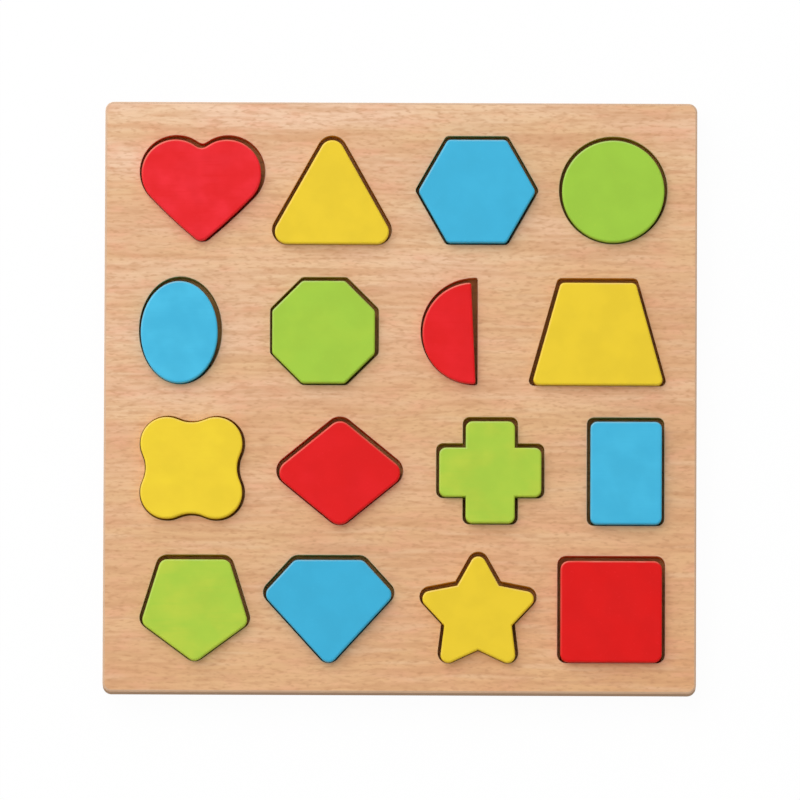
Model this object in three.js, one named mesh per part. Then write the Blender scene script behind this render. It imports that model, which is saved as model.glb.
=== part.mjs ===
// A shape-matching puzzle: a square wooden board with sixteen shaped windows in four rows,
// each holding a loose painted block. Millimetres, +Z up out of the board's face, +Y up the
// face, and the origin at the middle of the underside.
import * as THREE from 'three';

// Board: a plate with the windows cut through it, glued to a thin back.
const FRAME_THICKNESS = 7;
const BACK_THICKNESS = 3;
const BOARD_CORNER_RADIUS = 3;

// Solid wood between the windows and the board's edges, on the left for each row from the top.
const LEFT_MARGINS = [11.8, 11.8, 12.2, 12.4];
const RIGHT_MARGIN = 10.1;
const TOP_MARGIN = 11.35;
const BOTTOM_MARGIN = 10;

// Wood left between neighbouring windows, from left to right, in each row from the top.
const FIRST_ROW_WEBS = [2.4, 8.1, 7.1];
const SECOND_ROW_WEBS = [16.3, 14.2, 17.4];
const THIRD_ROW_WEBS = [10.6, 11.2, 14.4];
const FOURTH_ROW_WEBS = [4.4, 8.5, 7];

// Wood left between the lowest window of one row and the line the next row hangs from.
const ROW_GAPS = [11.05, 10.7, 10.2];

// The star's window starts this far above the line of its row.
const STAR_RISE = 1.35;

// Blocks: thicker than the plate, so they stand proud of its face.
const BLOCK_THICKNESS = 10;
const BLOCK_EDGE_RADIUS = 0.5;
const ROUND_CORNER = 4.1;
const SOFT_CORNER = 2.9;
const STAR_CORNER = 2.6;
const BOX_CORNER = 2.3;
const CRISP_CORNER = 1.8;
const SHARP_CORNER = 0.8;

// A block centred in its window has this clearance all round. Most have slid across the window
// until only the seat gap is left between them and the wall, and some not as far.
const CLEARANCE = 1;
const SNUG_CLEARANCE = 0.6;
const SEAT_GAP = 0.1;

// Block sizes, over their rounded corners.
const HEART_HEIGHT = 34.3;
const HEART_LOBE_RADIUS = 11.5;
const HEART_LOBE_OFFSET = 8.7;
const HEART_SIDE_RADIUS = 170;
const HEART_NOTCH_RADIUS = 3.2;
const TRIANGLE_WIDTH = 38.5;
const TRIANGLE_HEIGHT = 35.2;
const HEXAGON_WIDTH = 39.1;
const HEXAGON_HEIGHT = 35;
const HEXAGON_TOP = 21.3;
const CIRCLE_DIAMETER = 34.6;
const OVAL_WIDTH = 26;
const OVAL_HEIGHT = 34.6;
const OCTAGON_SIZE = 34.7;
const SEMICIRCLE_RADIUS = 17.2;
const SEMICIRCLE_LEAN = 2.6;
const TRAPEZOID_WIDTH = 43.6;
const TRAPEZOID_TOP = 26.2;
const TRAPEZOID_HEIGHT = 34.7;
const QUATREFOIL_LOBE_RADIUS = 8.9;
const QUATREFOIL_LOBE_OFFSET = 8.3;
const QUATREFOIL_WAIST_DEPTH = 1.8;
const RHOMBUS_WIDTH = 40.8;
const RHOMBUS_HEIGHT = 34.9;
const CROSS_SIZE = 34.5;
const CROSS_ARM = 16.6;
const RECTANGLE_WIDTH = 24.1;
const RECTANGLE_HEIGHT = 34.8;
const PENTAGON_WIDTH = 35.3;
const PENTAGON_HEIGHT = 34.2;
const PENTAGON_TOP = 24.5;
const PENTAGON_SHOULDER = 20.4;
const GEM_WIDTH = 42.3;
const GEM_HEIGHT = 34.6;
const GEM_TOP = 26.3;
const GEM_SHOULDER = 11.7;
const STAR_POINTS = 5;
const STAR_TIP_REACH = 17;
const STAR_NOTCH_REACH = 9.1;
const SQUARE_SIDE = 34.3;

// Round stretches are drawn as straight facets that stray this far from the true arc.
const FACET_SAG = 0.04;
const EDGE_FACETS = 2;

const beechVeneer = new THREE.MeshStandardMaterial({ color: '#e1b28c', roughness: 0.6, metalness: 0 });
const plywood = new THREE.MeshStandardMaterial({ color: '#d8b48c', roughness: 0.7, metalness: 0 });
const redPaint = new THREE.MeshStandardMaterial({ color: '#e0282c', roughness: 0.45, metalness: 0 });
const yellowPaint = new THREE.MeshStandardMaterial({ color: '#eccb3a', roughness: 0.45, metalness: 0 });
const bluePaint = new THREE.MeshStandardMaterial({ color: '#46b4da', roughness: 0.45, metalness: 0 });
const greenPaint = new THREE.MeshStandardMaterial({ color: '#a5cc46', roughness: 0.45, metalness: 0 });

const radians = THREE.MathUtils.degToRad;
const point = (x, y) => new THREE.Vector2(x, y);

// Points along an arc, both ends included, close enough to keep to the facet sag.
function arc(centre, radius, start, end) {
  const widest = 2 * Math.acos(1 - FACET_SAG / radius);
  const steps = Math.ceil(Math.abs(end - start) / widest);
  const points = [];
  for (let i = 0; i <= steps; i++) {
    const angle = start + ((end - start) * i) / steps;
    points.push(point(centre.x + radius * Math.cos(angle), centre.y + radius * Math.sin(angle)));
  }
  return points;
}

// Grows a counter-clockwise outline by a distance. An outer corner that turns sharply becomes
// an arc, and every other corner stays one point, where its two moved edges meet.
function grow(outline, distance, sharpTurn = Math.PI / 5) {
  return outline.flatMap((corner, i) => {
    const before = outline.at(i - 1);
    const after = outline[(i + 1) % outline.length];
    const arriving = corner.clone().sub(before).normalize();
    const leaving = after.clone().sub(corner).normalize();
    const turn = Math.atan2(arriving.cross(leaving), arriving.dot(leaving));
    const firstNormal = Math.atan2(-arriving.x, arriving.y);
    if (turn > sharpTurn) {
      return arc(corner, distance, firstNormal, firstNormal + turn);
    }
    const reach = distance / Math.cos(turn / 2);
    const direction = firstNormal + turn / 2;
    return [point(corner.x + reach * Math.cos(direction), corner.y + reach * Math.sin(direction))];
  });
}

// An outline with rounded corners about a smaller one that has only points for corners. The
// spread makes it larger all round and leaves the corners as round as they were.
function rounded(core, corner, spread) {
  return grow(grow(core, spread, Math.PI), corner);
}

const mirrored = (points) => points.map((p) => point(-p.x, p.y)).reverse();

// A rectangle of the given size with rounded corners, about its middle.
function roundedBox(width, height, corner, spread = 0) {
  const x = width / 2 - corner;
  const y = height / 2 - corner;
  return rounded([point(-x, -y), point(x, -y), point(x, y), point(-x, y)], corner, spread);
}

// Where the circles about two centres cross, on the left of the way from the first to the second.
function crossing(first, firstRadius, second, secondRadius) {
  const way = second.clone().sub(first);
  const apart = way.length();
  const along = (apart ** 2 + firstRadius ** 2 - secondRadius ** 2) / (2 * apart);
  const aside = Math.sqrt(firstRadius ** 2 - along ** 2);
  const unit = way.divideScalar(apart);
  return point(first.x + along * unit.x - aside * unit.y, first.y + along * unit.y + aside * unit.x);
}

const bearing = (from, to) => Math.atan2(to.y - from.y, to.x - from.x);

// Every shape below is drawn at the size of its block, and larger all round by the spread to
// give the window for it.

// Two lobes, a tip, slightly bulging sides and a notch, each an arc that runs smoothly into the next.
function heart(spread) {
  const tip = point(0, SOFT_CORNER);
  const lobe = point(HEART_LOBE_OFFSET, HEART_HEIGHT - HEART_LOBE_RADIUS);
  const side = crossing(
    tip, HEART_SIDE_RADIUS - SOFT_CORNER, lobe, HEART_SIDE_RADIUS - HEART_LOBE_RADIUS,
  );
  const leavesTip = bearing(side, tip);
  const meetsLobe = bearing(side, lobe);
  const reach = HEART_LOBE_RADIUS + HEART_NOTCH_RADIUS;
  const notch = point(0, lobe.y + Math.sqrt(reach ** 2 - HEART_LOBE_OFFSET ** 2));
  const rightHalf = [
    ...arc(tip, SOFT_CORNER, -Math.PI / 2, leavesTip).slice(0, -1),
    ...arc(side, HEART_SIDE_RADIUS, leavesTip, meetsLobe).slice(0, -1),
    ...arc(lobe, HEART_LOBE_RADIUS, meetsLobe, bearing(lobe, notch)).slice(0, -1),
    ...arc(notch, HEART_NOTCH_RADIUS, bearing(notch, lobe), -Math.PI / 2),
  ];
  return grow([...rightHalf, ...mirrored(rightHalf).slice(1, -1)], spread);
}

function triangle(spread) {
  const x = TRIANGLE_WIDTH / 2 - ROUND_CORNER;
  const y = TRIANGLE_HEIGHT - 2 * ROUND_CORNER;
  return grow([point(-x, 0), point(x, 0), point(0, y)], ROUND_CORNER + spread);
}

function hexagon(spread) {
  const side = HEXAGON_WIDTH / 2 - CRISP_CORNER;
  const top = HEXAGON_TOP / 2 - CRISP_CORNER;
  const y = HEXAGON_HEIGHT / 2 - CRISP_CORNER;
  const rightHalf = [point(top, -y), point(side, 0), point(top, y)];
  return rounded([...rightHalf, ...mirrored(rightHalf)], CRISP_CORNER, spread);
}

function circle(spread) {
  return arc(point(0, 0), CIRCLE_DIAMETER / 2 + spread, 0, 2 * Math.PI).slice(0, -1);
}

function oval(spread) {
  const tall = OVAL_HEIGHT / 2;
  const narrow = OVAL_WIDTH / OVAL_HEIGHT;
  const round = arc(point(0, 0), tall, 0, 2 * Math.PI).slice(0, -1);
  return grow(round.map((p) => point(p.x * narrow, p.y)), spread);
}

function octagon(spread) {
  const flat = OCTAGON_SIZE / 2 - CRISP_CORNER;
  const half = flat * Math.tan(Math.PI / 8);
  const rightHalf = [point(half, -flat), point(flat, -half), point(flat, half), point(half, flat)];
  return rounded([...rightHalf, ...mirrored(rightHalf)], CRISP_CORNER, spread);
}

// Half a disc, flat side to the right, about the middle of that side.
function semicircle(spread) {
  const radius = SEMICIRCLE_RADIUS - SHARP_CORNER;
  const corner = Math.acos(-SHARP_CORNER / radius);
  return rounded(arc(point(0, 0), radius, corner, 2 * Math.PI - corner), SHARP_CORNER, spread);
}

function trapezoid(spread) {
  const bottom = TRAPEZOID_WIDTH / 2 - CRISP_CORNER;
  const top = TRAPEZOID_TOP / 2 - CRISP_CORNER;
  const y = TRAPEZOID_HEIGHT - 2 * CRISP_CORNER;
  const core = [point(-bottom, 0), point(bottom, 0), point(top, y), point(-top, y)];
  return rounded(core, CRISP_CORNER, spread);
}

// Four round lobes with a hollow waist arc running smoothly between each pair.
function quatrefoil(spread) {
  const lobe = point(QUATREFOIL_LOBE_OFFSET, QUATREFOIL_LOBE_OFFSET);
  const deep = QUATREFOIL_LOBE_RADIUS - QUATREFOIL_WAIST_DEPTH;
  const spare = QUATREFOIL_LOBE_OFFSET ** 2 + deep ** 2 - QUATREFOIL_LOBE_RADIUS ** 2;
  const waistRadius = spare / (2 * QUATREFOIL_WAIST_DEPTH);
  const waist = point(0, QUATREFOIL_LOBE_OFFSET + deep + waistRadius);
  const meetsLobe = bearing(waist, lobe);
  const leavesLobe = meetsLobe + Math.PI;
  const quarter = [
    ...arc(lobe, QUATREFOIL_LOBE_RADIUS, Math.PI / 2 - leavesLobe, leavesLobe),
    ...arc(waist, waistRadius, meetsLobe, -Math.PI - meetsLobe).slice(1, -1),
  ];
  const turns = [0, 1, 2, 3].map((i) => (i * Math.PI) / 2);
  const all = turns.flatMap((turn) => quarter.map((p) => p.clone().rotateAround(point(0, 0), turn)));
  return grow(all, spread);
}

function rhombus(spread) {
  const x = RHOMBUS_WIDTH / 2 - ROUND_CORNER;
  const y = RHOMBUS_HEIGHT / 2 - ROUND_CORNER;
  return grow([point(0, -y), point(x, 0), point(0, y), point(-x, 0)], ROUND_CORNER + spread);
}

function cross(spread) {
  const end = CROSS_SIZE / 2 - BOX_CORNER;
  const arm = CROSS_ARM / 2 - BOX_CORNER;
  const rightHalf = [
    point(arm, -end), point(arm, -arm), point(end, -arm),
    point(end, arm), point(arm, arm), point(arm, end),
  ];
  return rounded([...rightHalf, ...mirrored(rightHalf)], BOX_CORNER, spread);
}

// A flat top, two shoulders and a point at the bottom.
function pointedShield(width, height, topWidth, shoulder, spread) {
  const side = width / 2 - SOFT_CORNER;
  const top = topWidth / 2 - SOFT_CORNER;
  const rightHalf = [point(side, -shoulder), point(top, -SOFT_CORNER)];
  const tip = point(0, -height + SOFT_CORNER);
  return grow([tip, ...rightHalf, ...mirrored(rightHalf)], SOFT_CORNER + spread);
}

function pentagon(spread) {
  return pointedShield(PENTAGON_WIDTH, PENTAGON_HEIGHT, PENTAGON_TOP, PENTAGON_SHOULDER, spread);
}

function gem(spread) {
  return pointedShield(GEM_WIDTH, GEM_HEIGHT, GEM_TOP, GEM_SHOULDER, spread);
}

function star(spread) {
  const corners = [];
  for (let i = 0; i < 2 * STAR_POINTS; i++) {
    const reach = i % 2 === 0 ? STAR_TIP_REACH : STAR_NOTCH_REACH;
    const angle = Math.PI / 2 + (i * Math.PI) / STAR_POINTS;
    corners.push(point(reach * Math.cos(angle), reach * Math.sin(angle)));
  }
  return grow(corners, STAR_CORNER + spread);
}

function rectangle(spread) {
  return roundedBox(RECTANGLE_WIDTH, RECTANGLE_HEIGHT, BOX_CORNER, spread);
}

function square(spread) {
  return roundedBox(SQUARE_SIDE, SQUARE_SIDE, SOFT_CORNER, spread);
}

// The directions in which the loose blocks have slid.
const LEFT = radians(-170);
const DOWN = radians(-90);
const DOWN_LEFT = radians(-118);
const DOWN_RIGHT = radians(-76);

// The four rows, from the top. A block may lean in its window, and its share is the part of
// the whole way to the wall that it has slid.
const rows = [
  {
    gapAbove: TOP_MARGIN,
    indent: LEFT_MARGINS[0],
    webs: FIRST_ROW_WEBS,
    pieces: [
      { name: 'heart_block', paint: redPaint, shape: heart, slides: DOWN_LEFT },
      { name: 'triangle_block', paint: yellowPaint, shape: triangle, slides: DOWN },
      { name: 'hexagon_block', paint: bluePaint, shape: hexagon, slides: DOWN, share: 0.6 },
      { name: 'circle_block', paint: greenPaint, shape: circle, slides: DOWN, share: 0.7 },
    ],
  },
  {
    gapAbove: ROW_GAPS[0],
    indent: LEFT_MARGINS[1],
    webs: SECOND_ROW_WEBS,
    pieces: [
      { name: 'oval_block', paint: bluePaint, shape: oval, slides: DOWN_LEFT },
      { name: 'octagon_block', paint: greenPaint, shape: octagon, slides: DOWN_LEFT, share: 0.7 },
      {
        name: 'semicircle_block',
        paint: redPaint,
        shape: semicircle,
        lean: radians(SEMICIRCLE_LEAN),
        slides: DOWN_LEFT,
      },
      { name: 'trapezoid_block', paint: yellowPaint, shape: trapezoid, slides: DOWN_RIGHT },
    ],
  },
  {
    gapAbove: ROW_GAPS[1],
    indent: LEFT_MARGINS[2],
    webs: THIRD_ROW_WEBS,
    pieces: [
      {
        name: 'quatrefoil_block',
        paint: yellowPaint,
        shape: quatrefoil,
        clearance: SNUG_CLEARANCE,
        slides: LEFT,
        share: 0.7,
      },
      { name: 'rhombus_block', paint: redPaint, shape: rhombus, slides: DOWN },
      { name: 'cross_block', paint: greenPaint, shape: cross, slides: DOWN, share: 0.8 },
      { name: 'rectangle_block', paint: bluePaint, shape: rectangle, slides: DOWN_RIGHT, share: 0.8 },
    ],
  },
  {
    gapAbove: ROW_GAPS[2],
    indent: LEFT_MARGINS[3],
    webs: FOURTH_ROW_WEBS,
    pieces: [
      { name: 'pentagon_block', paint: greenPaint, shape: pentagon, slides: DOWN },
      { name: 'gem_block', paint: bluePaint, shape: gem, slides: DOWN },
      { name: 'star_block', paint: yellowPaint, shape: star, rise: STAR_RISE, slides: DOWN },
      { name: 'square_block', paint: redPaint, shape: square, slides: DOWN },
    ],
  },
];

// Sets the windows out from the board's upper left corner. The windows of a row hang from one
// line, and the board is as wide and as high as its rows and margins need.
function setOut() {
  let lowest = 0;
  let boardWidth = 0;
  for (const row of rows) {
    const line = lowest - row.gapAbove;
    let left = row.indent;
    row.pieces.forEach((piece, i) => {
      const clearance = piece.clearance ?? CLEARANCE;
      piece.window = piece.shape(clearance);
      piece.slide = (clearance - SEAT_GAP) * (piece.share ?? 1);
      const box = new THREE.Box2().setFromPoints(piece.window);
      piece.place = point(left - box.min.x, line + (piece.rise ?? 0) - box.max.y);
      left += box.max.x - box.min.x + (row.webs[i] ?? RIGHT_MARGIN);
      lowest = Math.min(lowest, piece.place.y + box.min.y);
    });
    boardWidth = Math.max(boardWidth, left);
  }
  return { width: boardWidth, height: BOTTOM_MARGIN - lowest };
}

const board = setOut();
const middle = point(board.width / 2, -board.height / 2);
const pieces = rows.flatMap((row) => row.pieces);
for (const piece of pieces) {
  piece.place.sub(middle);
}

function mesh(name, geometry, material, bottom) {
  const made = new THREE.Mesh(geometry, material);
  made.name = name;
  made.position.z = bottom;
  return made;
}

// The back sheet closes the windows from behind.
function backBoard() {
  const shape = new THREE.Shape(roundedBox(board.width, board.height, BOARD_CORNER_RADIUS));
  const geometry = new THREE.ExtrudeGeometry(shape, { depth: BACK_THICKNESS, bevelEnabled: false });
  return mesh('back_board', geometry, plywood, 0);
}

// The plate, with every window cut right through.
function frameBoard() {
  const shape = new THREE.Shape(roundedBox(board.width, board.height, BOARD_CORNER_RADIUS));
  shape.holes = pieces.map((piece) => {
    return new THREE.Path(piece.window.map((p) => p.clone().add(piece.place)).reverse());
  });
  const geometry = new THREE.ExtrudeGeometry(shape, { depth: FRAME_THICKNESS, bevelEnabled: false });
  return mesh('frame_board', geometry, beechVeneer, BACK_THICKNESS);
}

// A block stands on the back sheet, with its top and bottom edges rounded over.
function block(piece) {
  const outline = piece.shape(0).map((p) => p.rotateAround(point(0, 0), piece.lean ?? 0));
  const geometry = new THREE.ExtrudeGeometry(new THREE.Shape(outline), {
    depth: BLOCK_THICKNESS - 2 * BLOCK_EDGE_RADIUS,
    bevelThickness: BLOCK_EDGE_RADIUS,
    bevelSize: BLOCK_EDGE_RADIUS,
    bevelOffset: -BLOCK_EDGE_RADIUS,
    bevelSegments: EDGE_FACETS,
  });
  const made = mesh(piece.name, geometry, piece.paint, BACK_THICKNESS + BLOCK_EDGE_RADIUS);
  made.position.x = piece.place.x + piece.slide * Math.cos(piece.slides);
  made.position.y = piece.place.y + piece.slide * Math.sin(piece.slides);
  return made;
}

const puzzle = new THREE.Group();
puzzle.name = 'shape_puzzle';
puzzle.add(backBoard(), frameBoard(), ...pieces.map(block));

export default puzzle;
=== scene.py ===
# %% [markdown]
# # A wooden shape puzzle
# A square board of beech plywood has sixteen windows cut through it, and each window holds a loose painted
# block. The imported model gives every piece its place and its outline. This lesson builds each piece again as
# a finer mesh in that place, and gives it a material that starts from what the real one is made of.

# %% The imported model
import math
from collections import namedtuple

import bmesh
import bpy
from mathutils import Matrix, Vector


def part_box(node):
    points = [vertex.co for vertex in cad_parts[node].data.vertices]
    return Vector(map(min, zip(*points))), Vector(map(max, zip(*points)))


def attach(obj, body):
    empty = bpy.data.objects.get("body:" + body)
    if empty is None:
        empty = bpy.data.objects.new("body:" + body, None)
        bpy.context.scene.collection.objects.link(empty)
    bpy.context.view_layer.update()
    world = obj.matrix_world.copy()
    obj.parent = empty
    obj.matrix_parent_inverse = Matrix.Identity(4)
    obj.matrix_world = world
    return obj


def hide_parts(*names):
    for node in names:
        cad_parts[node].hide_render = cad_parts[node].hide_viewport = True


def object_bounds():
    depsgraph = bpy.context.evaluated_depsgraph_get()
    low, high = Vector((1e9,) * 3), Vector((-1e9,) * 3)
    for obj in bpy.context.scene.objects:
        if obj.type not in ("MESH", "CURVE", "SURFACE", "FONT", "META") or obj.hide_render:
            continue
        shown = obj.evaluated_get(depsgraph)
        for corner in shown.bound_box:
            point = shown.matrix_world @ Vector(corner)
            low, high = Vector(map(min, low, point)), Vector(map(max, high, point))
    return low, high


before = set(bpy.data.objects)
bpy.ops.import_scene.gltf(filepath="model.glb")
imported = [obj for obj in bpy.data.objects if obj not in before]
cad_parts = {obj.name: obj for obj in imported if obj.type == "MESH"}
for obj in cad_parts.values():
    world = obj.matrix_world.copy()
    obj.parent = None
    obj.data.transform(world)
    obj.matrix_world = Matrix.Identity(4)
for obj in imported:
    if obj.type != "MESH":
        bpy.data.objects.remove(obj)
cad_low, cad_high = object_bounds()
scene = bpy.context.scene
MM = 0.001
print("the puzzle measures", [round(side / MM, 1) for side in cad_high - cad_low], "mm")

# %% [markdown]
# ## Camera
# The picture looks almost straight down: the board's sides stay parallel, and only a thin strip of its lower
# edge shows. A short lens close by would spread the lower corners, so a long lens stands eight metres away.
# The board's side in the picture, in pixels, then gives the lens, and no shift is needed. The board isn't
# quite level in the picture, so the camera is rolled by a fifth of a degree.

# %% The camera
SENSOR_MM = 36
IMAGE_PX = 800
BOARD_PX = 592.7
CAMERA_DISTANCE = 8.0
CAMERA_ELEVATION = math.radians(83.5)
CAMERA_ROLL = math.radians(0.22)
AIM = Vector((-0.1, -0.95, 10)) * MM

board_side = cad_high.x - cad_low.x
camera_data = bpy.data.cameras.new("camera")
camera_data.sensor_width = SENSOR_MM
camera_data.lens = SENSOR_MM * BOARD_PX / IMAGE_PX * CAMERA_DISTANCE / board_side
camera = bpy.data.objects.new("camera", camera_data)
scene.collection.objects.link(camera)
backwards = Vector((0, -math.cos(CAMERA_ELEVATION), math.sin(CAMERA_ELEVATION)))
camera.location = AIM + CAMERA_DISTANCE * backwards
camera.rotation_euler = backwards.to_track_quat("Z", "Y").to_euler()
camera.rotation_euler.rotate_axis("Z", CAMERA_ROLL)
scene.camera = camera
print("lens", round(camera_data.lens), "mm")

# %% [markdown]
# ## Outlines
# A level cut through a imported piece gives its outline, so nothing has to be measured twice. The cut also
# leaves points in the middle of straight sides, where two triangles of the mesh meet. These points are
# dropped, and each facet of a curve gets one more point, out on the curve, so that round blocks look round.

# %% Reading an outline
WELD = 0.001 * MM
STRAIGHT = math.radians(0.2)
LONGEST_FACET = 6 * MM


def neighbours(outline):
    """Each point of a closed outline between the points before and after it."""
    return zip(outline[-1:] + outline[:-1], outline, outline[1:] + outline[:1])


def turn(before, here, after):
    """The angle by which an outline turns at a point, positive to the left."""
    return -(here - before).angle_signed(after - here, 0)


def without_straight_points(outline):
    """Only the points where the outline turns, in anticlockwise order."""
    corners = [points[1] for points in neighbours(outline) if abs(turn(*points)) > STRAIGHT]
    area = sum(a.cross(b) for a, b in zip(corners, corners[1:] + corners[:1]))
    return corners if area > 0 else corners[::-1]


def with_finer_curves(outline):
    """Adds a point to each facet of a curve, raised by the height of the arc over the facet."""
    turns = [turn(*points) for points in neighbours(outline)]
    finer = []
    for i, here in enumerate(outline):
        finer.append(here)
        after = (i + 1) % len(outline)
        facet = outline[after] - here
        if turns[i] * turns[after] > 0 and facet.length < LONGEST_FACET:
            arc = (turns[i] + turns[after]) / 2
            rise = facet.length / 2 * math.tan(arc / 4)
            finer.append((here + outline[after]) / 2 - facet.orthogonal().normalized() * rise)
    return finer


def outlines_at(node, height):
    """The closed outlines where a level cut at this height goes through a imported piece."""
    cut = bmesh.new()
    cut.from_mesh(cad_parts[node].data)
    bmesh.ops.remove_doubles(cut, verts=cut.verts, dist=WELD)
    bmesh.ops.bisect_plane(
        cut,
        geom=cut.verts[:] + cut.edges[:] + cut.faces[:],
        plane_co=(0, 0, height),
        plane_no=(0, 0, 1),
        clear_inner=True,
        clear_outer=True,
    )
    walked = set()
    outlines = []
    for start in cut.verts:
        outline = []
        at, came_by = start, None
        while at not in walked:
            walked.add(at)
            outline.append(at.co.xy)
            came_by = next(edge for edge in at.link_edges if edge != came_by)
            at = came_by.other_vert(at)
        if outline:
            outlines.append(with_finer_curves(without_straight_points(outline)))
    cut.free()
    return outlines


def middle_height(node):
    low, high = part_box(node)
    return (low[2] + high[2]) / 2


board_outlines = outlines_at("frame_board", middle_height("frame_board"))
board_outlines.sort(key=lambda outline: max(point.x for point in outline))
board_rim = board_outlines.pop()
windows = board_outlines
print(len(windows), "windows, board outline of", len(board_rim), "points")

# %% [markdown]
# ## Sawn, sanded shapes
# Every piece here is a flat outline with some thickness and with sanded edges. It could be a plain extrusion
# with a bevel modifier, but a loft of rings says directly how round each edge is: each ring is the outline,
# moved in a little and set at a height. The rings of a rounded edge also carry a number called rim, which
# grows to 1 round the edge and fades again on the flat. Paint and wood read it later to paint light and
# shade on their rounded edges: a painted highlight on the paint, a greyer painted shade on the wood.

# %% Lofting rings
ROUND_STEPS = 6
FLAT_BAND = 0.12 * MM
SHARP = math.radians(40)


def moved_in(outline, distance):
    """The outline moved into the piece by the same distance all round."""
    moved = []
    for before, here, after in neighbours(outline):
        inwards = (here - before).normalized().orthogonal() + (after - here).normalized().orthogonal()
        moved.append(here + inwards * (2 * distance / inwards.length_squared))
    return moved


def rounded_edge(height, radius, upwards, side=1, band=FLAT_BAND):
    """Rings (distance in, height, rim) from the wall, round an edge at this height, and on to the flat."""
    rings = [(0, height - upwards * (radius + band), 0)]
    for step in range(ROUND_STEPS + 1):
        angle = math.pi / 2 * step / ROUND_STEPS
        inwards = side * radius * (1 - math.cos(angle))
        rings.append((inwards, height - upwards * radius * (1 - math.sin(angle)), math.sin(angle)))
    rings.append((side * (radius + band), height, 0))
    return rings


def new_mesh():
    mesh = bmesh.new()
    mesh.verts.layers.float.new("rim")
    return mesh


def loft(mesh, outline, rings, wall_finish=0):
    """Joins copies of the outline, one for each ring, and gives the first and the last of them."""
    rim = mesh.verts.layers.float["rim"]
    made = []
    for inwards, height, wear in rings:
        ring = [mesh.verts.new((point.x, point.y, height)) for point in moved_in(outline, inwards)]
        for vert in ring:
            vert[rim] = wear
        made.append(ring)
    for lower, upper, (lower_in, _, _), (upper_in, _, _) in zip(made, made[1:], rings, rings[1:]):
        for i in range(len(outline)):
            face = mesh.faces.new((lower[i - 1], lower[i], upper[i], upper[i - 1]))
            face.material_index = wall_finish if lower_in == upper_in else 0
    return made[0], made[-1]


def as_piece(mesh, name, body, node, finishes):
    """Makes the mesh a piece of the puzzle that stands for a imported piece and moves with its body."""
    bmesh.ops.recalc_face_normals(mesh, faces=mesh.faces)
    for face in mesh.faces:
        face.smooth = True
    for edge in mesh.edges:
        edge.smooth = edge.calc_face_angle(math.pi) < SHARP
    data = bpy.data.meshes.new(name)
    mesh.to_mesh(data)
    mesh.free()
    for finish in finishes:
        data.materials.append(finish)
    made = bpy.data.objects.new(name, data)
    scene.collection.objects.link(made)
    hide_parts(node)
    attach(made, body)
    print(name, "has", len(data.polygons), "faces")


# %% [markdown]
# ## Materials
# Colours are written as sRGB hex values, as a paint card or a screen gives them, and turned to the linear
# values that light is reckoned in. One function adds a node with its settings and links. A pattern is placed
# by the size of its marks in millimetres, long and short, so that it keeps its scale on every piece. Where a
# finish has many kinds of marks, they are listed as layers, the lowest first: a layer says where in the
# noise its marks start and where they are full, how strong they are and what colour they have.

# %% Colours and nodes
MIX_FACTOR, MIX_A, MIX_B, MIX_COLOUR = 0, 6, 7, 2
GRID_TURN = [math.radians(angle) for angle in (25, 15, 35)]
SURFACE_IOR = 1.5

Layer = namedtuple("Layer", "size_mm detail start full strength colour")


def linear(hex_colour):
    """A linear RGBA colour from an sRGB hex value."""
    parts = [int(hex_colour[i : i + 2], 16) / 255 for i in (1, 3, 5)]
    return [c / 12.92 if c <= 0.04045 else ((c + 0.055) / 1.055) ** 2.4 for c in parts] + [1]


def fill(tree, node, inputs):
    """Sets a node's inputs, and links those that are given as sockets."""
    for name, value in inputs.items():
        if isinstance(value, bpy.types.NodeSocket):
            tree.links.new(value, node.inputs[name])
        else:
            node.inputs[name].default_value = value


def add(tree, kind, inputs=None, **settings):
    """Adds a node: settings are its properties, inputs its values or the sockets that are linked to it."""
    node = tree.nodes.new(kind)
    for name, value in settings.items():
        setattr(node, name, value)
    fill(tree, node, inputs or {})
    return node


def maths(tree, operation, *values):
    """The result of an operation on one or two values."""
    return add(tree, "ShaderNodeMath", dict(enumerate(values)), operation=operation).outputs[0]


def along(tree, vector, direction):
    """How far a vector goes along a direction."""
    inputs = {0: vector, 1: direction}
    return add(tree, "ShaderNodeVectorMath", inputs, operation="DOT_PRODUCT").outputs["Value"]


def stored(tree, name):
    """A number that the mesh carries at each of its points."""
    return add(tree, "ShaderNodeAttribute", attribute_name=name).outputs["Fac"]


def marks(tree, place, size_mm, detail=2.0):
    """Soft marks of this size, in millimetres along X, Y and Z: the strength of a stretched noise.

    The noise is turned after it is stretched, so that no seam of its grid runs straight across the grain.
    """
    inputs = {"Vector": place, "Scale": [1 / (side * MM) for side in size_mm], "Rotation": GRID_TURN}
    stretched = add(tree, "ShaderNodeMapping", inputs)
    noise = add(tree, "ShaderNodeTexNoise", {"Vector": stretched.outputs[0], "Scale": 1, "Detail": detail})
    return noise.outputs[0]


def between(tree, value, low, high, least=0.0, most=1.0):
    """The value stretched so that low gives least and high gives most, with soft ends."""
    inputs = {"Value": value, "From Min": low, "From Max": high, "To Min": least, "To Max": most}
    return add(tree, "ShaderNodeMapRange", inputs, interpolation_type="SMOOTHSTEP").outputs[0]


def blended(tree, factor, colour, other, blend="MIX"):
    """One colour over another, by a factor from 0 to 1."""
    inputs = {MIX_FACTOR: factor, MIX_A: colour, MIX_B: other}
    return add(tree, "ShaderNodeMix", inputs, data_type="RGBA", blend_type=blend).outputs[MIX_COLOUR]


def new_material(name):
    material = bpy.data.materials.new(name)
    material.use_nodes = True
    tree = material.node_tree
    return material, tree, tree.nodes["Principled BSDF"]


def layered(tree, place, colour, layers):
    """A ground colour under layers of marks."""
    for layer in layers.values():
        noise = marks(tree, place, layer.size_mm, layer.detail)
        share = between(tree, noise, layer.start, layer.full, 0, layer.strength)
        colour = blended(tree, share, colour, linear(layer.colour))
    return colour


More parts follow.
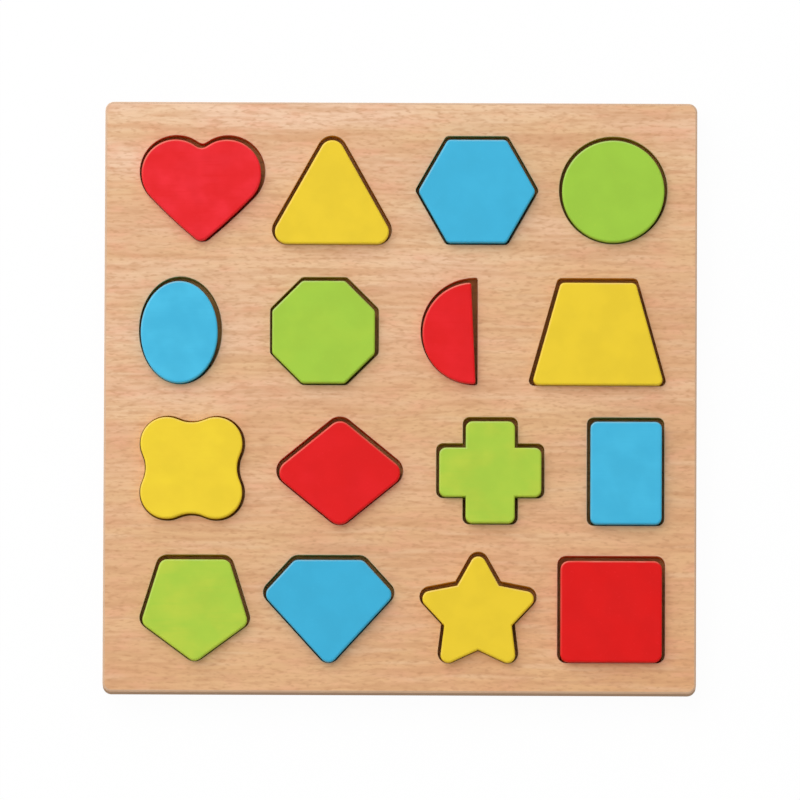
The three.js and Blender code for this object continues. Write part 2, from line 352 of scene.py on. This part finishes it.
def bumped(tree, height, depth_mm, strength):
    """The way a surface faces under a bump of this depth."""
    inputs = {"Height": height, "Distance": depth_mm * MM, "Strength": strength}
    return add(tree, "ShaderNodeBump", inputs).outputs[0]


# %% [markdown]
# ## Beech face veneer
# The face is rotary-cut beech, sanded and given a thin matt lacquer. Beech shows no bold rings: the eye sees
# soft bands of tan, pink and gold, pale and dark streaks along the grain, and many tiny ray flecks and
# dashes. The grain runs along X and wavers a little, so the place that every pattern reads is first pushed
# up and down by a slow noise. The ground colour is painted paler at the upper left and deeper and darker
# towards the lower right, a painted falloff of the lamp's light and sheen, and the rounded edges are
# painted a little greyer, a painted shade.

# %% Beech veneer
WAVER_MM = (55, 30, 30)
WAVER_HEIGHT_MM = 3.0
# The direction in which the painted light falloff darkens the face.
FALLOFF_DIRECTION = (0.25, -0.75, 0)
FIBRES_MM = (24, 0.5, 0.5)
VENEER_LAYERS = {
    "tan bands": Layer((140, 17, 17), 2.0, 0.38, 0.62, 0.6, "#DBA673"),
    "pink blush": Layer((13, 4, 4), 2.0, 0.46, 0.7, 0.5, "#EAA884"),
    "golden patches": Layer((48, 13, 13), 2.0, 0.42, 0.64, 0.3, "#E8C38C"),
    "pale streaks": Layer((30, 2.8, 2.8), 1.0, 0.5, 0.72, 0.28, "#EDCBA6"),
    "dark streaks": Layer((36, 1.8, 1.8), 1.0, 0.44, 0.72, 0.46, "#CD9567"),
    "ray flecks": Layer((5, 1.2, 1.2), 1.0, 0.44, 0.78, 0.45, "#C68E61"),
    "short dashes": Layer((2.4, 0.8, 0.8), 1.0, 0.5, 0.8, 0.5, "#BF8659"),
}


def wavering_place(tree):
    """The place on the piece, pushed up and down the face a little as the grain wavers."""
    place = add(tree, "ShaderNodeTexCoord").outputs["Object"]
    slow = marks(tree, place, WAVER_MM, 1.0)
    push = add(tree, "ShaderNodeMapRange", {"Value": slow, "To Min": -0.5, "To Max": 0.5}).outputs[0]
    inputs = {"X": 0.0, "Y": push, "Z": 0.0}
    along_y = add(tree, "ShaderNodeCombineXYZ", inputs).outputs[0]
    inputs = {0: along_y, 1: [WAVER_HEIGHT_MM * MM] * 3, 2: place}
    return add(tree, "ShaderNodeVectorMath", inputs, operation="MULTIPLY_ADD").outputs[0]


def painted_light_falloff(tree, place):
    """How far the painted light falloff has gone: 0 at the board's upper left corner, 1 at its lower right
    corner, mostly by height.
    """
    slant = along(tree, place, [part / board_side for part in FALLOFF_DIRECTION])
    return add(tree, "ShaderNodeMapRange", {"Value": slant, "From Min": -0.5, "From Max": 0.5}).outputs[0]


def beech_veneer():
    material, tree, shader = new_material("beech_veneer_matt_lacquer")
    place = wavering_place(tree)
    fibres = marks(tree, place, FIBRES_MM, 1.0)
    # Painted light: the ground colour runs from pale at the upper left to deeper and darker at the lower
    # right, the lamp's falloff and sheen.
    colour = blended(tree, painted_light_falloff(tree, place), linear("#F2CCAC"), linear("#E1A673"))
    colour = layered(tree, place, colour, VENEER_LAYERS)
    colour = blended(tree, between(tree, fibres, 0.4, 0.7, 0, 0.12), colour, linear("#D19B6E"))
    # Painted shade: the rounded edges of the face and of the windows are painted greyer than the face.
    colour = blended(tree, between(tree, stored(tree, "rim"), 0, 1, 0, 0.8), colour, linear("#CBAA8C"))
    inputs = {"Base Color": colour, "IOR": SURFACE_IOR}
    inputs["Roughness"] = between(tree, fibres, 0.3, 0.7, 0.42, 0.56)
    inputs["Normal"] = bumped(tree, fibres, 0.05, 0.25)
    fill(tree, shader, inputs)
    return material


veneer = beech_veneer()
print("made", veneer.name)

# %% [markdown]
# ## Plywood edges
# Where plywood is cut, its plies show as stripes: every second ply turns its end grain outwards, which
# drinks more lacquer and looks darker. The stripes follow the height on the board, so they come from the
# place's Z alone. The outer edge is sanded clean. The walls of the windows were cut by a fast router
# bit; their pale warm gold is painted light, which lifts the deep shade in the narrow gaps round the
# blocks. Cut end grain is dull, so neither edge has a gloss.

# %% Plywood edges
PLY_MM = 1.4
BARE_ROUGHNESS = 0.7


def plywood_edge(name, pale, dark, glue):
    material, tree, shader = new_material(name)
    place = add(tree, "ShaderNodeTexCoord").outputs["Object"]
    height = add(tree, "ShaderNodeSeparateXYZ", {0: place}).outputs["Z"]
    in_pairs = maths(tree, "MULTIPLY", height, 1 / (2 * PLY_MM * MM))
    part_of_pair = maths(tree, "FRACT", in_pairs)
    second = maths(tree, "GREATER_THAN", part_of_pair, 0.5)
    from_joint = maths(tree, "ABSOLUTE", maths(tree, "SUBTRACT", part_of_pair, 0.5))
    pores = marks(tree, place, (0.7, 0.7, 0.35))
    fibres = marks(tree, place, (6, 6, 0.3))
    colour = blended(tree, second, linear(pale), linear(dark))
    colour = blended(tree, between(tree, pores, 0.5, 0.72, 0, 0.45), colour, linear(dark))
    colour = blended(tree, between(tree, fibres, 0.45, 0.75, 0, 0.3), colour, linear(glue))
    colour = blended(tree, between(tree, from_joint, 0.0, 0.05, 0.6, 0), colour, linear(glue))
    inputs = {"Base Color": colour, "Roughness": BARE_ROUGHNESS, "IOR": SURFACE_IOR}
    inputs["Specular IOR Level"] = 0.0
    inputs["Normal"] = bumped(tree, pores, 0.08, 0.4)
    fill(tree, shader, inputs)
    return material


sanded_edge = plywood_edge("sanded_plywood_edge", "#C3A58C", "#A78568", "#785A42")
# The routed walls' pale warm gold is painted light that lifts the shade in the gaps round the blocks.
window_wall_painted_light = plywood_edge("routed_plywood_edge_painted_light", "#F2B75E", "#DE9E48", "#B67A38")
print("made", sanded_edge.name, "and", window_wall_painted_light.name)

# %% [markdown]
# ## The frame
# The frame is one plate with sixteen windows cut right through. Its outer edge is well rounded for small
# hands, and the windows only have their sharp edge taken off. The walls come from lofts, and the two
# faces are filled between the board's outline and all the windows.

# %% The frame
BOARD_EDGE_RADIUS = 0.6 * MM
WINDOW_EDGE_RADIUS = 0.1 * MM
WINDOW_BAND = 0.3 * MM
EDGE_FINISH, WINDOW_FINISH = 1, 2


def ring_edges(mesh, rings):
    return [mesh.edges.get((ring[i - 1], ring[i])) for ring in rings for i in range(len(ring))]


def make_frame():
    low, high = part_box("frame_board")
    mesh = new_mesh()
    outer = [(0, low[2], 0)] + rounded_edge(high[2], BOARD_EDGE_RADIUS, 1)
    inner = [(0, low[2], 0)] + rounded_edge(high[2], WINDOW_EDGE_RADIUS, 1, -1, WINDOW_BAND)
    lofts = [loft(mesh, board_rim, outer, EDGE_FINISH)]
    lofts += [loft(mesh, window, inner, WINDOW_FINISH) for window in windows]
    feet, faces = zip(*lofts)
    for rings, facing in ((feet, -1), (faces, 1)):
        edges = ring_edges(mesh, rings)
        bmesh.ops.triangle_fill(mesh, use_beauty=True, edges=edges, normal=(0, 0, facing))
    finishes = [veneer, sanded_edge, window_wall_painted_light]
    as_piece(mesh, "veneered_frame", "board", "frame_board", finishes)


make_frame()

# %% [markdown]
# ## The back
# A thin sheet of plain plywood closes the windows from behind and is the floor of every recess. It is
# cheaper stuff than the face: browner, with a straighter and coarser grain, and not lacquered, so it is
# rougher to the light.

# %% The back
BACK_EDGE_RADIUS = 0.5 * MM


def plain_plywood():
    material, tree, shader = new_material("plain_sanded_plywood")
    place = wavering_place(tree)
    bands = marks(tree, place, (160, 14, 14))
    streaks = marks(tree, place, (22, 1.1, 1.1), 3.0)
    pores = marks(tree, place, (5, 0.4, 0.4), 1.0)
    colour = blended(tree, between(tree, bands, 0.35, 0.65), linear("#E0AE6C"), linear("#D29A58"))
    colour = blended(tree, between(tree, streaks, 0.45, 0.75, 0, 0.5), colour, linear("#B07A48"))
    colour = blended(tree, between(tree, pores, 0.64, 0.74, 0, 0.4), colour, linear("#8F6238"))
    inputs = {"Base Color": colour, "Roughness": BARE_ROUGHNESS, "IOR": SURFACE_IOR}
    inputs["Normal"] = bumped(tree, streaks, 0.06, 0.3)
    fill(tree, shader, inputs)
    return material


def make_back():
    low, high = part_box("back_board")
    mesh = new_mesh()
    rings = rounded_edge(low[2], BACK_EDGE_RADIUS, -1)[::-1] + [(0, high[2], 0)]
    foot, face = loft(mesh, board_rim, rings, EDGE_FINISH)
    mesh.faces.new(foot)
    mesh.faces.new(face)
    finishes = [plain_plywood(), sanded_edge]
    as_piece(mesh, "glued_back", "board", "back_board", finishes)


make_back()

# %% [markdown]
# ## Painted blocks
# The blocks are sawn from ten-millimetre board, sanded until their edges are slightly round, and coated
# with a satin water-based toy paint. The paint is even but not flat: it is a little mottled, and darker
# where the coat is thick. Fine grain shows through it as low ridges. The rounded edges that face up the
# board, towards the lamp, are painted paler and patchy: a painted highlight where the lamp catches them.
# The shader finds these edges by the way they face.
# No two coats came out quite alike, so every block also carries a number called coat, from 0 for the
# duller of the paint's two colours to 1 for the brighter one.

# %% Satin toy paint
# Roughly towards the lamp: rounded edges that face this way get a painted highlight.
HIGHLIGHT_SIDE = (-0.35, 0.94, 0)
THICK_COAT = 0.85
SATIN_GLOSS = 0.18


def satin_paint(name, dull_hex, bright_hex, highlight_hex):
    material, tree, shader = new_material(name)
    place = add(tree, "ShaderNodeTexCoord").outputs["Object"]
    mottle = marks(tree, place, (12, 9, 9), 3.0)
    grain = marks(tree, place, (14, 0.8, 0.8), 2.0)
    specks = marks(tree, place, (0.9, 0.7, 0.7), 1.0)
    coat_and_highlight_patches = marks(tree, place, (9, 9, 9), 2.0)
    # Painted highlight mask: the rounded edges that face the lamp side, patchy along the edge.
    facing = along(tree, add(tree, "ShaderNodeNewGeometry").outputs["Normal"], HIGHLIGHT_SIDE)
    highlight_edges = maths(tree, "MULTIPLY", stored(tree, "rim"), between(tree, facing, 0.0, 0.6))
    painted_highlight = maths(tree, "MULTIPLY", highlight_edges, between(tree, coat_and_highlight_patches, 0.3, 0.7, 0.25, 0.7))
    thick = [THICK_COAT * part for part in linear(dull_hex)[:3]] + [1]
    colour = blended(tree, stored(tree, "coat"), linear(dull_hex), linear(bright_hex))
    colour = blended(tree, between(tree, coat_and_highlight_patches, 0.3, 0.7, 0, 0.35), colour, thick)
    colour = blended(tree, between(tree, mottle, 0.35, 0.65, 0, 0.5), colour, linear(dull_hex), "DARKEN")
    colour = blended(tree, between(tree, grain, 0.5, 0.8, 0, 0.3), colour, linear(dull_hex), "DARKEN")
    colour = blended(tree, between(tree, specks, 0.66, 0.78, 0, 0.25), colour, linear(bright_hex))
    # Painted highlight: a paler colour on the rounded edges that face the lamp.
    colour = blended(tree, painted_highlight, colour, linear(highlight_hex))
    inputs = {"Base Color": colour, "IOR": SURFACE_IOR, "Specular IOR Level": SATIN_GLOSS}
    inputs["Roughness"] = between(tree, mottle, 0.3, 0.7, 0.32, 0.4)
    inputs["Normal"] = bumped(tree, grain, 0.03, 0.15)
    fill(tree, shader, inputs)
    return material


# The last colour of each paint is its painted highlight on the edges that face the lamp.
paints = {
    "red": satin_paint("red_satin_toy_paint", "#E10C0A", "#F22A35", "#DFA48C"),
    "yellow": satin_paint("yellow_satin_toy_paint", "#EDCC2E", "#F3D431", "#EBC98C"),
    "blue": satin_paint("blue_satin_toy_paint", "#3CB1D9", "#4ABFE5", "#A6BCC2"),
    "green": satin_paint("green_satin_toy_paint", "#A0CC40", "#BBD044", "#BCC890"),
}
print("made", ", ".join(paint.name for paint in paints.values()))

# %% The blocks
BLOCK_EDGE_RADIUS = 0.65 * MM
BLOCKS = {
    "red": {"heart": 1.0, "semicircle": 0.4, "rhombus": 0.25, "square": 0.0},
    "yellow": {"triangle": 0.2, "trapezoid": 0.3, "quatrefoil": 1.0, "star": 0.2},
    "blue": {"hexagon": 0.3, "oval": 1.0, "rectangle": 0.7, "gem": 0.0},
    "green": {"circle": 0.0, "octagon": 0.3, "cross": 1.0, "pentagon": 1.0},
}


def make_block(shape, colour, brightness):
    node = shape + "_block"
    low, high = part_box(node)
    (outline,) = outlines_at(node, middle_height(node))
    lower = rounded_edge(low[2], BLOCK_EDGE_RADIUS, -1)
    upper = rounded_edge(high[2], BLOCK_EDGE_RADIUS, 1)
    mesh = new_mesh()
    foot, face = loft(mesh, outline, lower[::-1] + upper)
    mesh.faces.new(foot)
    mesh.faces.new(face)
    coat = mesh.verts.layers.float.new("coat")
    for vert in mesh.verts:
        vert[coat] = brightness
    as_piece(mesh, f"{colour}_{shape}", shape, node, [paints[colour]])


for colour, shapes in BLOCKS.items():
    for shape, brightness in shapes.items():
        make_block(shape, colour, brightness)

# %% [markdown]
# ## Floor and light
# The puzzle lies on a white sweep, so pale that only a faint shadow is left. The floor is white, and what
# the camera sees of it is mostly a plain white glow, which keeps that faint shadow without more light on
# the wood. A large soft lamp stands to the upper left, which puts the blocks' shadows to the lower
# right. The rest comes from the room, which is a little brighter on the lamp's side, so the edges that
# face away from it fall off into shade.

# %% Floor
FLOOR_SIDE = 6.0
FLOOR_DROP = 0.1 * MM
WHITE_GLOW = 0.96


def white_sweep():
    material = bpy.data.materials.new("white_paper_sweep")
    material.use_nodes = True
    tree = material.node_tree
    tree.nodes.clear()
    ray = add(tree, "ShaderNodeLightPath").outputs
    seen = maths(tree, "MAXIMUM", ray["Is Camera Ray"], ray["Is Glossy Ray"])
    seen = maths(tree, "MAXIMUM", seen, ray["Is Transmission Ray"])
    share = maths(tree, "MULTIPLY", seen, WHITE_GLOW)
    paper = add(tree, "ShaderNodeBsdfDiffuse", {"Color": linear("#FAFAFA")})
    glow = add(tree, "ShaderNodeEmission", {"Color": linear("#FFFFFF"), "Strength": 1.0})
    inputs = {0: share, 1: paper.outputs[0], 2: glow.outputs[0]}
    mixed = add(tree, "ShaderNodeMixShader", inputs)
    add(tree, "ShaderNodeOutputMaterial", {"Surface": mixed.outputs[0]})
    return material


floor_mesh = bmesh.new()
bmesh.ops.create_grid(floor_mesh, x_segments=1, y_segments=1, size=FLOOR_SIDE / 2)
floor_data = bpy.data.meshes.new("floor")
floor_mesh.to_mesh(floor_data)
floor_mesh.free()
floor_data.materials.append(white_sweep())
floor = bpy.data.objects.new("floor", floor_data)
floor.location.z = -FLOOR_DROP
scene.collection.objects.link(floor)
print("floor of", FLOOR_SIDE, "m")

# %% Light
KEY_PLACE = Vector((-1.05, 1.2, 1.7))
KEY_SIDE = 2.4
KEY_POWER = 37
ROOM_LIGHT = 0.67
ROOM_SLOPE = (-0.1, 0.04, -0.06)

key_data = bpy.data.lights.new("soft_key", "AREA")
key_data.size = KEY_SIDE
key_data.energy = KEY_POWER
key = bpy.data.objects.new("soft_key", key_data)
key.location = KEY_PLACE
key.rotation_euler = KEY_PLACE.to_track_quat("Z", "Y").to_euler()
key.visible_camera = False
scene.collection.objects.link(key)

room = bpy.data.worlds.new("pale_room")
room.use_nodes = True
scene.world = room
room_tree = room.node_tree
towards = add(room_tree, "ShaderNodeTexCoord").outputs["Generated"]
level = maths(room_tree, "ADD", along(room_tree, towards, ROOM_SLOPE), ROOM_LIGHT)
fill(room_tree, room_tree.nodes["Background"], {"Color": linear("#FFFFFF"), "Strength": level})
scene.view_settings.view_transform = "Standard"
print("key lamp", round(KEY_PLACE.length, 2), "m away")
